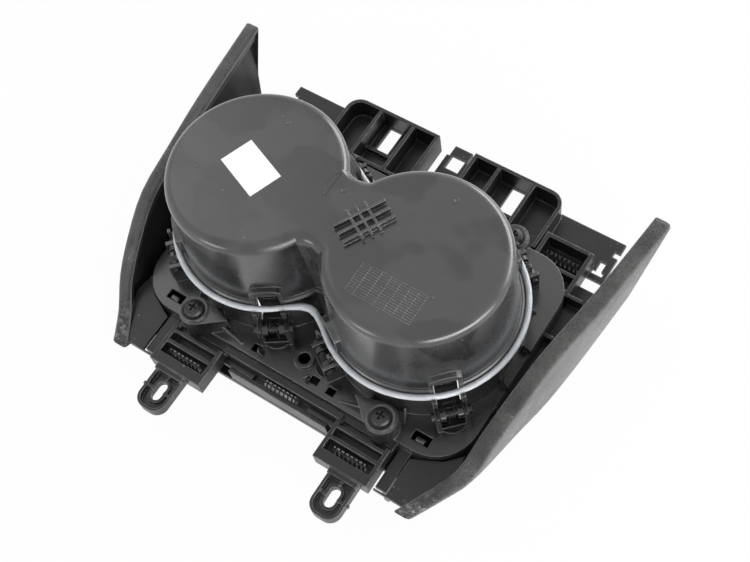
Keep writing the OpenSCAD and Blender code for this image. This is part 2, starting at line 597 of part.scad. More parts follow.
// Finger in its own frame: X outwards from the well's axis, Y along the pin, Z up
module finger_shape() {
    half = finger_w / 2;
    nose_r = back_out - back_t - nose_depth;
    difference() {
        union() {
            // back plate with rounded upper end, standing in the wall's window
            translate([back_out - back_t, 0, 0]) rotate([90, 0, 90]) linear_extrude(back_t) polygon(concat(
                [[-half, pivot_z - 1.6], [half, pivot_z - 1.6]],
                [for (i = [0:6]) let (t = i * 15) [half - 2.6 + 2.6 * cos(t), finger_top_z - 2.6 + 2.6 * sin(t)]],
                [for (i = [0:6]) let (t = 90 + i * 15) [-half + 2.6 + 2.6 * cos(t), finger_top_z - 2.6 + 2.6 * sin(t)]]));
            // nose inside the well
            rotate([90, 0, 0]) translate([0, 0, -half + 0.8]) linear_extrude(finger_w - 1.6) polygon([
                [back_out - back_t + eps, pivot_z - 1.6], [back_out - back_t + eps, finger_top_z - 1.5],
                [nose_r + 1.6, finger_top_z - 6], [nose_r + 0.3, finger_top_z - 8.5], [nose_r, finger_top_z - 11],
                [nose_r + 1.2, finger_top_z - 14.5]]);
            // arm out to the pivot
            translate([back_out - back_t, -half, pivot_z - 1.6]) cube([pivot_r - back_out + back_t, finger_w, 3.2]);
            translate([pivot_r, 0, pivot_z]) rotate([90, 0, 0]) cylinder(r = hub_r, h = finger_w, center = true);
        }
        translate([pivot_r, 0, pivot_z]) rotate([90, 0, 0])
            cylinder(r = pin_r + pin_clearance, h = finger_w + 2, center = true);
        // room for the torsion spring between the two hubs
        translate([pivot_r - spring_room, -half + 2.4, pivot_z - 6]) cube([12, finger_w - 4.8, 12]);
        // square recess in the back plate
        translate([back_out - 1, -2.5, guide_z + 1.5]) cube([4, 5, 4.6]);
    }
}
module finger_at(side, k) color("#4a4b4e") placed() mirror([side, 0, 0]) at_left(angles[k]) finger_shape();
module pin_shape() translate([pivot_r, 0, pivot_z]) rotate([90, 0, 0]) {
    len = 2 * (win_half + cheek_t + knob_gap);
    cylinder(r = pin_r, h = len + 1, center = true);
    for (s = [-1, 1]) translate([0, 0, s * (len + knob_t) / 2]) cylinder(r = knob_r, h = knob_t, center = true);
}
module pin_at(side, k) color("#55575a") placed() mirror([side, 0, 0]) at_left(angles[k]) pin_shape();

// Torsion spring: a helix round the pin with one leg on the finger and one on the wall
wire_r = 0.35;
coil_r = pin_r + 0.35 + wire_r;
coil_turns = 3.25;
spring_room = hub_r + 1.4;
coil_l = finger_w - 4.8 - 2.4;
coil_steps = coil_turns * 12;
function coil_path() = concat(
    [[-spring_room + 0.3, -coil_l / 2, coil_r]],
    [for (i = [0:coil_steps]) let (t = 90 - i * 30)
        [coil_r * cos(t), coil_l * (i / coil_steps - 0.5), coil_r * sin(t)]],
    [[coil_r, coil_l / 2, sill_top - pivot_z + 0.3]]);
function unit(v) = v / norm(v);
function path_dir(p, i) = unit(p[min(i + 1, len(p) - 1)] - p[max(i - 1, 0)]);
module wire(p, r) {
    n = 6;
    m = len(p);
    side = [for (i = [0:m - 1]) let (d = path_dir(p, i)) unit(cross(d, [0, 1, 0.02]))];
    polyhedron(convexity = 6, points = [for (i = [0:m - 1]) for (j = [0:n - 1])
        let (d = path_dir(p, i), u = side[i], v = cross(d, u), t = j * 360 / n) p[i] + r * (u * cos(t) + v * sin(t))],
        faces = concat([[for (i = [0:n - 1]) i]], [[for (i = [n - 1:-1:0]) (m - 1) * n + i]],
        [for (k = [0:m - 2]) for (i = [0:n - 1]) each
            [[k * n + i, (k + 1) * n + (i + 1) % n, k * n + (i + 1) % n],
             [k * n + i, (k + 1) * n + i, (k + 1) * n + (i + 1) % n]]]));
}
module spring_at(side, k) color("#a8abae") placed() mirror([side, 0, 0]) at_left(angles[k])
    translate([pivot_r, 0, pivot_z]) wire(coil_path(), wire_r);

cup_well();
carrier_frame();
trim_panel();
left_wing();
right_wing();
left_wing_skin();
right_wing_skin();
light_guide();
label();
screws();
spring_clips();
finger_at(0, 0);  // finger_l1
finger_at(0, 1);  // finger_l2
finger_at(0, 2);  // finger_l3
finger_at(0, 3);  // finger_l4
finger_at(1, 0);  // finger_r1
finger_at(1, 1);  // finger_r2
finger_at(1, 2);  // finger_r3
finger_at(1, 3);  // finger_r4
pin_at(0, 0);  // pin_l1
pin_at(0, 1);  // pin_l2
pin_at(0, 2);  // pin_l3
pin_at(0, 3);  // pin_l4
pin_at(1, 0);  // pin_r1
pin_at(1, 1);  // pin_r2
pin_at(1, 2);  // pin_r3
pin_at(1, 3);  // pin_r4
spring_at(0, 0);  // spring_l1
spring_at(0, 1);  // spring_l2
spring_at(0, 2);  // spring_l3
spring_at(0, 3);  // spring_l4
spring_at(1, 0);  // spring_r1
spring_at(1, 1);  // spring_r2
spring_at(1, 2);  // spring_r3
spring_at(1, 3);  // spring_r4
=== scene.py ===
"""Car cup holder module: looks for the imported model, in metres, in the model's own frame."""

import json
import math

import bpy
from mathutils import Matrix, Vector


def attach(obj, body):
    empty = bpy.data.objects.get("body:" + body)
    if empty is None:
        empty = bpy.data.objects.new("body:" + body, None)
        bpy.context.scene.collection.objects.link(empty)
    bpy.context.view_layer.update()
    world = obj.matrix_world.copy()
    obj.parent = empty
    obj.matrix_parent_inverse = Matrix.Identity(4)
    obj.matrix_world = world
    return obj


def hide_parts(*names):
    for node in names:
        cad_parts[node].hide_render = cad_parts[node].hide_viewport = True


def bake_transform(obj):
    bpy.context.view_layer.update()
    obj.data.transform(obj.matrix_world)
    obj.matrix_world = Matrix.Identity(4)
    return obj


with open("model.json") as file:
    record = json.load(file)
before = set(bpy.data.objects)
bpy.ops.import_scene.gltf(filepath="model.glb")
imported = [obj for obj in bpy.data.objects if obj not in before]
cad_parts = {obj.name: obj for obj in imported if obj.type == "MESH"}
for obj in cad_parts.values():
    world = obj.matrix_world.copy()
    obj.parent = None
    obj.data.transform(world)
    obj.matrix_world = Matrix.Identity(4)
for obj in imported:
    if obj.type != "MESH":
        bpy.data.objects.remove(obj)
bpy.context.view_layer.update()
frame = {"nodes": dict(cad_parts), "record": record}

bl_info = {
    "name": "Car Cup Holder Module",
    "version": (1, 0, 0),
    "blender": (4, 5, 0),
    "location": "3D View > Sidebar > Cup Holder",
    "description": "Dresses the packed cup holder module with finishes and moulded detail",
    "category": "Object",
}

MM = 0.001
MODULE = "module"
WHITE = (1, 1, 1, 1)

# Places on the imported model: the line through the wells' axes, the wells and the fingers' pins
LINE_Y = 1.7 * MM
CUP_X = 42.3 * MM
CUP_TOP = 92 * MM
FLANGE_TOP = 22 * MM
SKIRT_R = 45.6 * MM
FINGER_ANGLES = (-57, -135, 65, 123)
WING_CORNER = (84 * MM, -82 * MM, 17 * MM)

# How deep an added detail sits in the part that carries it
TOUCH = 0.05 * MM

# Ejector marks on the closed ends as X, Y and radius, and the arc beside the first of them
WAIST_MARK = (-1.4 * MM, 10.2 * MM + LINE_Y)
EJECTOR_MARKS = (
    (*WAIST_MARK, 1.6 * MM), (-43 * MM, 27 * MM + LINE_Y, 1.4 * MM), (44 * MM, 30 * MM + LINE_Y, 1.4 * MM),
    (60 * MM, -14 * MM + LINE_Y, 1.2 * MM), (-66 * MM, -12 * MM + LINE_Y, 1.2 * MM))
WAIST_ARC_R = 8.6 * MM
WAIST_ARC_CUT = 5.5 * MM

# The blank ruled panel: its corner, its size, and its columns as shares of its length
PANEL_LEFT = 26 * MM
PANEL_TOP = -15 * MM + LINE_Y
PANEL_LENGTH = 32 * MM
PANEL_DEPTH = 15 * MM
PANEL_ROWS = 12
PANEL_COLUMNS = (0, 0.13, 0.3, 0.44, 0.6, 0.74, 0.87, 1)

# Gussets round the skirts, and the lips at the fingers' feet
GUSSET_LENGTH = 5 * MM
GUSSET_GAP = 0.35 * MM
GUSSET_ANGLES = (-168, -192, -216, 90, -90, -110)
LIP_PLACE_R = 49.5 * MM

# Screw seats on either side, as X, Y and height
SCREW_SEATS = ((52.9 * MM, -54.3 * MM + LINE_Y, 34 * MM), (55.5 * MM, 56.5 * MM + LINE_Y, 28 * MM))

# Snap tongues, one in each flange window
TONGUE_X = 70.5 * MM
TONGUE_Y = -49.3 * MM
TONGUE_Z = 20.2 * MM

# Fins and hooks on the front of the flange, as X, Y and turn in degrees
FINS = ((-45 * MM, -50.2 * MM, -6), (46 * MM, -50.4 * MM, 186))
HOOKS = ((-17.6 * MM, -52 * MM, 20), (10 * MM, -51.4 * MM, 160))

# Cover plates in the front rail's channel
RAIL_PLATE_X = 26.5 * MM
RAIL_Y = -63.05 * MM + LINE_Y
RAIL_FLOOR = 13.5 * MM

# Colours of the smaller finishes and of dust and scrapes
PANEL_COLOUR = (0.085, 0.085, 0.088, 1)
FINGER_COLOUR = (0.012, 0.0122, 0.013, 1)
SCREW_COLOUR = (0.045, 0.045, 0.048, 1)
COIL_COLOUR = (0.06, 0.06, 0.063, 1)
STEEL_COLOUR = (0.22, 0.22, 0.225, 1)
DUST_COLOUR = (0.38, 0.38, 0.37, 1)
SKIN_DUST_COLOUR = (0.4, 0.4, 0.39, 1)
SCRAPED_COLOUR = (0.3, 0.3, 0.3, 1)

# The floor lies just under the part, and shows this share of plain white where it is seen
FLOOR_DROP = 0.02 * MM
FLOOR_WHITE = 0.96

# Soft boxes: name, direction, distance, width and height, and power in watts
SOFT_BOXES = (
    ("overhead_box", (-0.62, 0.15, 0.8), 1.3, (0.6, 0.5), 0.6),
    ("rear_box", (0.35, 0.9, 0.24), 1.4, (1.8, 0.6), 16),
    ("side_box", (0.92, -0.36, 0.18), 1.3, (1.5, 0.4), 14),
    ("front_box", (-0.3, -0.95, 0.2), 1.4, (0.5, 0.3), 2))
LAMP_AIM_Z = 0.05

# The photograph's view, with its angles in degrees
VIEW_AZIMUTH = 45.37
VIEW_ELEVATION = 62.23
VIEW_ROLL = -13.57
VIEW_AIM = (27.46, -11.08, 72)
VIEW_DISTANCE = 549.5 * MM
VIEW_LENS = 60.73


# Sizes and colours that the panel offers
class CupHolderSizes(bpy.types.PropertyGroup):
    """Sizes of the added details and of the floor."""

    line_height: bpy.props.FloatProperty(
        name="Raised line height", description="Height of the raised lines on the closed ends",
        default=0.25 * MM, min=0.1 * MM, max=0.5 * MM, precision=5, unit="LENGTH")
    line_width: bpy.props.FloatProperty(
        name="Raised line width", description="Width of the raised lines on the closed ends",
        default=0.3 * MM, min=0.15 * MM, max=0.6 * MM, precision=5, unit="LENGTH")
    gusset_height: bpy.props.FloatProperty(
        name="Gusset height", description="Height of the gussets between the wells and the flange",
        default=7 * MM, min=3 * MM, max=9 * MM, precision=4, unit="LENGTH")
    gusset_thickness: bpy.props.FloatProperty(
        name="Gusset thickness", description="Thickness of the gussets between the wells and the flange",
        default=1.2 * MM, min=0.8 * MM, max=1.6 * MM, precision=4, unit="LENGTH")
    floor_size: bpy.props.FloatProperty(
        name="Floor size", description="Width of the floor that the module stands on",
        default=6.0, min=2.0, max=12.0, unit="LENGTH")


class CupHolderColours(bpy.types.PropertyGroup):
    """Base colours of the finishes."""

    well: bpy.props.FloatVectorProperty(
        name="Wells", description="Satin plastic of the well moulding", subtype="COLOR",
        size=4, default=(0.0105, 0.0107, 0.0115, 1), min=0, max=1)
    carrier: bpy.props.FloatVectorProperty(
        name="Carrier", description="Matte plastic of the carrier frame", subtype="COLOR",
        size=4, default=(0.0105, 0.0106, 0.011, 1), min=0, max=1)
    skin: bpy.props.FloatVectorProperty(
        name="Skin", description="Grained skin of the side wings", subtype="COLOR",
        size=4, default=(0.062, 0.061, 0.0595, 1), min=0, max=1)
    guide: bpy.props.FloatVectorProperty(
        name="Light guide", description="Clear plastic of the light guide", subtype="COLOR",
        size=4, default=(0.66, 0.69, 0.72, 1), min=0, max=1)


def sizes():
    return bpy.context.scene.cup_holder_sizes


def colours():
    return bpy.context.scene.cup_holder_colours


# Shader building
class Shader:
    """Adds nodes to a tree and links them by name."""

    def __init__(self, tree):
        self.tree = tree

    def node(self, kind, inputs=None, **settings):
        made = self.tree.nodes.new(kind)
        for key, value in settings.items():
            setattr(made, key, value)
        for key, value in (inputs or {}).items():
            self.feed(made.inputs[key], value)
        return made

    def feed(self, socket, value):
        if isinstance(value, bpy.types.NodeSocket):
            self.tree.links.new(value, socket)
        else:
            socket.default_value = value

    def noise(self, vector, scale, detail=3.0, rough=0.5):
        return self.node("ShaderNodeTexNoise", {
            "Vector": vector, "Scale": scale, "Detail": detail, "Roughness": rough}).outputs["Fac"]

    def span(self, value, low, high, out_low=0.0, out_high=1.0):
        return self.node("ShaderNodeMapRange", {
            "Value": value, "From Min": low, "From Max": high,
            "To Min": out_low, "To Max": out_high}, interpolation_type="SMOOTHSTEP").outputs["Result"]

    def math(self, operation, first, second=0.0):
        return self.node("ShaderNodeMath", {0: first, 1: second}, operation=operation).outputs[0]

    def blend(self, factor, first, second):
        """The first colour where the factor is 0, and the second where it is 1."""
        made = self.node("ShaderNodeMix", data_type="RGBA")
        self.feed(made.inputs["Factor"], factor)
        self.feed(mix_socket(made, "A"), first)
        self.feed(mix_socket(made, "B"), second)
        return next(s for s in made.outputs if s.type == "RGBA")

    def stretch(self, vector, scale=(1, 1, 1), turn=(0, 0, 0), place=(0, 0, 0)):
        return self.node("ShaderNodeMapping", {
            "Vector": vector, "Scale": scale, "Rotation": turn, "Location": place}).outputs["Vector"]


def mix_socket(made, name):
    """The colour socket of a Mix node, which has sockets of that name for other kinds too."""
    return next(s for s in made.inputs if s.name == name and s.type == "RGBA")


def group_tree(name, inputs, outputs):
    """A new shader node group with the named inputs and outputs."""
    tree = bpy.data.node_groups.new(name, "ShaderNodeTree")
    for label, kind, default in inputs:
        socket = tree.interface.new_socket(name=label, in_out="INPUT", socket_type=kind)
        socket.default_value = default
    for label, kind in outputs:
        tree.interface.new_socket(name=label, in_out="OUTPUT", socket_type=kind)
    shader = Shader(tree)
    return shader, shader.node("NodeGroupInput").outputs, shader.node("NodeGroupOutput")


FLOAT, VECTOR = "NodeSocketFloat", "NodeSocketVector"


def object_coords(shader):
    return shader.node("ShaderNodeTexCoord").outputs["Object"]


def moulded_grain_group():
    """Fine spark-eroded grain of a moulded surface with slow waviness."""
    s, given, out = group_tree(
        "Moulded grain", [("Scale", FLOAT, 900.0), ("Waviness", FLOAT, 0.3)],
        [("Height", FLOAT), ("Mottle", FLOAT)])
    place = object_coords(s)
    fine = s.noise(place, given["Scale"], 4.0, 0.6)
    cells = s.node("ShaderNodeTexVoronoi", {"Vector": place, "Scale": given["Scale"]}).outputs["Distance"]
    slow = s.noise(place, 26.0, 2.0, 0.5)
    grain = s.math("ADD", s.math("MULTIPLY", fine, 0.6), s.math("MULTIPLY", cells, 0.25))
    s.feed(out.inputs["Height"], s.math("ADD", grain, s.math("MULTIPLY", slow, given["Waviness"])))
    s.feed(out.inputs["Mottle"], s.span(s.noise(place, 70.0, 4.0, 0.65), 0.32, 0.7))
    return s.tree


def scratches_group():
    """Fine straight scratches in three directions, broken up by a patchy mask."""
    s, given, out = group_tree(
        "Fine scratches", [("Amount", FLOAT, 0.5), ("Scale", FLOAT, 60.0)], [("Mask", FLOAT)])
    place = object_coords(s)
    total = None
    for turn, low in ((0.6, 0.685), (-0.95, 0.7), (2.2, 0.71)):
        lines = s.noise(s.stretch(place, (1.0, 22.0, 4.0), (0, 0, turn)), given["Scale"], 2.0, 0.55)
        mask = s.span(lines, low, low + 0.03)
        total = mask if total is None else s.math("MAXIMUM", total, mask)
    patch = s.span(s.noise(place, 45.0, 2.0, 0.5), 0.5, 0.66)
    s.feed(out.inputs["Mask"], s.math("MULTIPLY", s.math("MULTIPLY", total, patch), given["Amount"]))
    return s.tree


def dust_group():
    """Pale specks in sparse patches, and faint smudges."""
    s, given, out = group_tree(
        "Dust and smudges", [("Specks", FLOAT, 0.5), ("Smudges", FLOAT, 0.3)],
        [("Specks", FLOAT), ("Smudges", FLOAT)])
    place = object_coords(s)
    cells = s.node("ShaderNodeTexVoronoi", {"Vector": place, "Scale": 260.0, "Randomness": 1.0})
    speck = s.span(cells.outputs["Distance"], 0.14, 0.06)
    sparse = s.span(s.noise(place, 120.0, 2.0, 0.5), 0.6, 0.66)
    s.feed(out.inputs["Specks"], s.math("MULTIPLY", s.math("MULTIPLY", speck, sparse), given["Specks"]))
    smear = s.noise(s.stretch(place, (1, 2.2, 1), (0, 0, 0.5)), 38.0, 5.0, 0.62)
    s.feed(out.inputs["Smudges"], s.math("MULTIPLY", s.span(smear, 0.48, 0.72), given["Smudges"]))
    return s.tree


def scuff_group():
    """Pale scraped patches round the front corners of the two wings."""
    s, given, out = group_tree(
        "Corner scuffs", [("Reach", FLOAT, 14 * MM), ("Amount", FLOAT, 1.0)], [("Mask", FLOAT)])
    place = object_coords(s)
    total = None
    x, y, z = WING_CORNER
    for corner in ((-x, y, z), (x, y, z)):
        away = s.node("ShaderNodeVectorMath", {0: place, 1: corner}, operation="DISTANCE").outputs["Value"]
        near = s.span(s.math("DIVIDE", away, given["Reach"]), 1.0, 0.1)
        total = near if total is None else s.math("MAXIMUM", total, near)
    ragged = s.span(s.noise(s.stretch(place, (1, 1, 2.5), (0.3, 0.5, 0)), 420.0, 4.0, 0.7), 0.5, 0.66)
    s.feed(out.inputs["Mask"], s.math("MULTIPLY", s.math("MULTIPLY", total, ragged), given["Amount"]))
    return s.tree


def skin_grain_group():
    """Soft pebbled skin: small rounded cells with creases between them, and a fine nap."""
    s, given, out = group_tree(
        "Skin grain", [("Scale", FLOAT, 800.0)], [("Height", FLOAT), ("Crease", FLOAT), ("Nap", FLOAT)])
    place = object_coords(s)
    bent = s.node("ShaderNodeVectorMath", {
        0: place, 1: s.node("ShaderNodeVectorMath", {
            0: s.node("ShaderNodeTexNoise", {"Vector": place, "Scale": 300.0}).outputs["Color"],
            1: (0.0012, 0.0012, 0.0012)}, operation="MULTIPLY").outputs["Vector"]},
        operation="ADD").outputs["Vector"]
    edge = s.node("ShaderNodeTexVoronoi", {"Vector": bent, "Scale": given["Scale"]},
                  feature="DISTANCE_TO_EDGE").outputs["Distance"]
    crease = s.span(edge, 0.16, 0.0)
    nap = s.noise(place, 2400.0, 3.0, 0.7)
    height = s.math("SUBTRACT", s.math("MULTIPLY", nap, 0.5), s.math("MULTIPLY", crease, 0.6))
    s.feed(out.inputs["Height"], s.math("ADD", height, s.math("MULTIPLY", s.noise(place, 60.0, 3.0), 0.8)))
    s.feed(out.inputs["Crease"], crease)
    s.feed(out.inputs["Nap"], nap)
    return s.tree


def edge_group():
    """Softened edges: the rounded normal, and a mask of touch-polished edges, also a painted highlight."""
    s, given, out = group_tree(
        "Edge softening", [("Radius", FLOAT, 0.4 * MM), ("Polish", FLOAT, 0.5)],
        [("Normal", VECTOR), ("Mask", FLOAT)])
    rounded = s.node("ShaderNodeBevel", {"Radius": given["Radius"]}, samples=6).outputs["Normal"]
    plain = s.node("ShaderNodeNewGeometry").outputs["Normal"]
    agree = s.node("ShaderNodeVectorMath", {0: rounded, 1: plain}, operation="DOT_PRODUCT").outputs["Value"]
    # uneven along the edges: patches of real polish and of the painted highlight that the plastic lays there
    worn = s.span(s.noise(object_coords(s), 130.0, 3.0, 0.6), 0.38, 0.62, 0.35, 1.0)
    mask = s.math("MULTIPLY", s.span(agree, 0.985, 0.86), s.math("MULTIPLY", worn, given["Polish"]))
    s.feed(out.inputs["Normal"], rounded)
    s.feed(out.inputs["Mask"], mask)
    return s.tree


def clouds_group():
    """Slow cloudy patches where the moulded surface shines more or less."""
    s, given, out = group_tree("Cloudy shine", [("Scale", FLOAT, 24.0)], [("Mask", FLOAT)])
    place = object_coords(s)
    bent = s.noise(s.stretch(place, (1, 1.3, 1), (0, 0, 0.8)), given["Scale"], 2.5, 0.48)
    s.feed(out.inputs["Mask"], s.span(bent, 0.47, 0.53))
    return s.tree


GROUPS = {}


def build_groups():
    GROUPS.update({
        "edges": edge_group(), "clouds": clouds_group(),
        "grain": moulded_grain_group(), "scratches": scratches_group(), "dust": dust_group(),
        "scuff": scuff_group(), "skin": skin_grain_group()})


def use_group(shader, key, **values):
    made = shader.node("ShaderNodeGroup", node_tree=GROUPS[key])
    for label, value in values.items():
        shader.feed(made.inputs[label], value)
    return made.outputs


def new_material(name):
    """A material with a Principled shader, ready to be fed."""
    material = bpy.data.materials.new(name)
    material.use_nodes = True
    material.node_tree.nodes.clear()
    shader = Shader(material.node_tree)
    surface = shader.node("ShaderNodeBsdfPrincipled")
    out = shader.node("ShaderNodeOutputMaterial")
    shader.feed(out.inputs["Surface"], surface.outputs["BSDF"])
    return material, shader, surface


def lighter(colour, times, add=0.0):
    return tuple(min(1.0, c * times + add) for c in colour[:3]) + (1,)


def plastic(name, colour, rough, grain_scale, bump, scratches=0.3, specks=0.4, smudges=0.3,
            scuff=0.0, waviness=0.3, edge=0.4 * MM, polish_and_highlight=0.5, cloudy=0.0, specular=0.5,
            coat=0.15, sheen=0.03):
    """Moulded black plastic: grain, mottle, scratches, dust, smudges, polished edges with a painted
    highlight.
    """
    material, s, surface = new_material(name)
    grain = use_group(s, "grain", Scale=grain_scale, Waviness=waviness)
    lines = use_group(s, "scratches", Amount=scratches)
    dust = use_group(s, "dust", Specks=specks, Smudges=smudges)
    edges = use_group(s, "edges", Radius=edge, Polish=polish_and_highlight)
    tone = s.blend(grain["Mottle"], lighter(colour, 0.86), lighter(colour, 1.18))
    if cloudy:
        patches = s.math("MULTIPLY", use_group(s, "clouds")["Mask"], cloudy)
        tone = s.blend(patches, lighter(colour, 1.6, 0.006), lighter(colour, 0.7))
    tone = s.blend(lines["Mask"], tone, lighter(colour, 2.6, 0.05))
    tone = s.blend(s.math("MULTIPLY", dust["Smudges"], 0.35), tone, lighter(colour, 1.5, 0.012))
    tone = s.blend(dust["Specks"], tone, DUST_COLOUR)
    roughness = s.math("ADD", s.span(grain["Mottle"], 0, 1, rough - 0.035, rough + 0.035),
                       s.math("MULTIPLY", dust["Smudges"], 0.16))
    if cloudy:
        roughness = s.math("SUBTRACT", roughness, s.math("MULTIPLY", patches, 0.06))
    # painted highlight: the edge mask lightens the colour along edges; the lower roughness there is real
    # polish
    tone = s.blend(edges["Mask"], tone, lighter(colour, 4.0, 0.2))
    roughness = s.math("SUBTRACT", roughness, s.math("MULTIPLY", edges["Mask"], 0.12))
    if scuff:
        marks = use_group(s, "scuff", Amount=scuff)
        tone = s.blend(marks["Mask"], tone, SCRAPED_COLOUR)
        roughness = s.math("ADD", roughness, s.math("MULTIPLY", marks["Mask"], 0.2))
    s.feed(surface.inputs["Base Color"], tone)
    s.feed(surface.inputs["Roughness"], roughness)
    relief = s.node("ShaderNodeBump", {
        "Strength": 0.5, "Distance": bump, "Normal": edges["Normal"],
        "Height": s.math("SUBTRACT", grain["Height"], s.math("MULTIPLY", lines["Mask"], 0.4))})
    s.feed(surface.inputs["Normal"], relief.outputs["Normal"])
    surface.inputs["Specular IOR Level"].default_value = specular
    surface.inputs["Coat Weight"].default_value = coat
    surface.inputs["Coat Roughness"].default_value = 0.25
    surface.inputs["Sheen Weight"].default_value = sheen
    surface.inputs["Sheen Roughness"].default_value = 0.35
    return material


def skin_material(name, colour):
    """Grained soft skin with creases darkened as painted shade, a nap with sheen, and scraped corners."""
    material, s, surface = new_material(name)
    grain = use_group(s, "skin", Scale=850.0)
    dust = use_group(s, "dust", Specks=0.5, Smudges=0.6)
    marks = use_group(s, "scuff", Reach=26 * MM, Amount=0.8)
    patches = s.span(s.noise(object_coords(s), 60.0, 5.0, 0.68), 0.36, 0.64)
    tone = s.blend(patches, lighter(colour, 0.5), lighter(colour, 1.3))
    # painted shade: the creases between the grain's cells are darkened
    tone = s.blend(s.math("MULTIPLY", grain["Crease"], 0.7), tone, lighter(colour, 0.35))
    tone = s.blend(s.span(grain["Nap"], 0.6, 0.8), tone, lighter(colour, 1.9))
    tone = s.blend(dust["Specks"], tone, SKIN_DUST_COLOUR)
    tone = s.blend(marks["Mask"], tone, SCRAPED_COLOUR)
    s.feed(surface.inputs["Base Color"], tone)
    s.feed(surface.inputs["Roughness"], s.span(grain["Crease"], 0, 1, 0.72, 0.9))
    edges = use_group(s, "edges", Radius=3.5 * MM, Polish=0.0)
    relief = s.node("ShaderNodeBump", {
        "Strength": 0.7, "Distance": 0.35 * MM, "Height": grain["Height"], "Normal": edges["Normal"]})
    s.feed(surface.inputs["Normal"], relief.outputs["Normal"])
    surface.inputs["Specular IOR Level"].default_value = 0.3
    surface.inputs["Sheen Weight"].default_value = 0.5
    surface.inputs["Sheen Roughness"].default_value = 0.5
    return material


def guide_material(name, colour):
    """Clear moulded rod: slightly bluish, with flow streaks and patches of frost."""
    material, s, surface = new_material(name)
    place = object_coords(s)
    streaks = s.noise(s.stretch(place, (1, 1, 5)), 160.0, 3.0, 0.6)
    frost = s.span(s.noise(place, 500.0, 3.0, 0.6), 0.4, 0.7)
    s.feed(surface.inputs["Base Color"],
           s.blend(s.span(streaks, 0.35, 0.7), lighter(colour, 0.9), lighter(colour, 1.1)))
    s.feed(surface.inputs["Roughness"], s.span(frost, 0, 1, 0.06, 0.18))
    relief = s.node("ShaderNodeBump", {"Strength": 0.12, "Distance": 0.05 * MM, "Height": streaks})
    s.feed(surface.inputs["Normal"], relief.outputs["Normal"])
    surface.inputs["Transmission Weight"].default_value = 0.25
    surface.inputs["IOR"].default_value = 1.49
    return material


def paper_material(name):
    """Blank matte paper with fibres and faint grey smudges."""
    material, s, surface = new_material(name)
    place = object_coords(s)
    fibres = s.noise(s.stretch(place, (1, 3, 1), (0, 0, 0.7)), 900.0, 4.0, 0.7)
    smudge = s.span(s.noise(place, 90.0, 3.0, 0.6), 0.55, 0.8)
    tone = s.blend(fibres, (0.93, 0.93, 0.925, 1), (0.99, 0.99, 0.985, 1))
    tone = s.blend(s.math("MULTIPLY", smudge, 0.3), tone, (0.7, 0.7, 0.69, 1))
    s.feed(surface.inputs["Base Color"], tone)
    s.feed(surface.inputs["Roughness"], s.span(fibres, 0, 1, 0.62, 0.8))
    relief = s.node("ShaderNodeBump", {"Strength": 0.3, "Distance": 0.05 * MM, "Height": fibres})
    s.feed(surface.inputs["Normal"], relief.outputs["Normal"])
    return material


def steel_material(name, colour, metallic_low, metallic_high, rough):
    """Drawn or coated steel with draw lines, dull spots and a few worn places."""
    material, s, surface = new_material(name)
    place = object_coords(s)
    drawn = s.noise(s.stretch(place, (1, 1, 14)), 500.0, 3.0, 0.6)
    dull = s.span(s.noise(place, 240.0, 4.0, 0.65), 0.42, 0.66)
    lines = use_group(s, "scratches", Amount=0.6, Scale=220.0)
    tone = s.blend(dull, colour, lighter(colour, 0.55))
    tone = s.blend(lines["Mask"], tone, lighter(colour, 1.6, 0.1))
    s.feed(surface.inputs["Base Color"], tone)
    s.feed(surface.inputs["Metallic"], s.span(dull, 0, 1, metallic_high, metallic_low))
    s.feed(surface.inputs["Roughness"], s.math("ADD", rough, s.math("MULTIPLY", drawn, 0.2)))
    relief = s.node("ShaderNodeBump", {"Strength": 0.35, "Distance": 0.05 * MM, "Height": drawn})
    s.feed(surface.inputs["Normal"], relief.outputs["Normal"])
    return material


FINISHES = {}


def build_finishes():
    c = colours()
    FINISHES.update({
        "satin_black_plastic": plastic(
            "Satin black plastic", c.well, rough=0.29, grain_scale=420.0, bump=0.03 * MM,
            scratches=0.5, specks=0.35, smudges=0.5, waviness=1.4,
            edge=0.8 * MM, polish_and_highlight=0.5, cloudy=1.0, specular=0.7, coat=0.65, sheen=0.06),
        "ruled_panel_plastic": plastic(
            "Ruled panel plastic", PANEL_COLOUR, rough=0.36, grain_scale=900.0, bump=0.03 * MM,
            scratches=0.4, specks=0.6, smudges=0.6),
        "matte_black_plastic": plastic(
            "Matte black plastic", c.carrier, rough=0.36, grain_scale=1300.0, bump=0.07 * MM,
            scratches=0.35, specks=0.5, smudges=0.4, scuff=0.7,
            edge=0.9 * MM, polish_and_highlight=0.9, specular=0.42),
        "soft_skin": skin_material("Grained soft skin", c.skin),
        "finger_plastic": plastic(
            "Finger plastic", FINGER_COLOUR, rough=0.26, grain_scale=900.0, bump=0.04 * MM,
            scratches=0.25, specks=0.2, smudges=0.3, edge=0.35 * MM, polish_and_highlight=0.9),
        "clear_guide": guide_material("Clear light guide", c.guide),
        "label_paper": paper_material("Blank label paper"),
        "black_steel": steel_material(
            "Black coated steel", SCREW_COLOUR, metallic_low=0.2, metallic_high=0.75, rough=0.3),
        "blackened_spring": steel_material(
            "Blackened spring steel", COIL_COLOUR, metallic_low=0.4, metallic_high=0.9, rough=0.28),
        "spring_steel": steel_material(
            "Spring steel", STEEL_COLOUR, metallic_low=0.7, metallic_high=0.95, rough=0.28),
    })


# Modelling helpers
def deselect():
    if bpy.context.object and bpy.context.object.mode != "OBJECT":
        bpy.ops.object.mode_set(mode="OBJECT")
    bpy.ops.object.select_all(action="DESELECT")


def edit_all():
    """Enters edit mode with the whole mesh selected."""
    bpy.ops.object.mode_set(mode="EDIT")
    bpy.ops.mesh.select_all(action="SELECT")


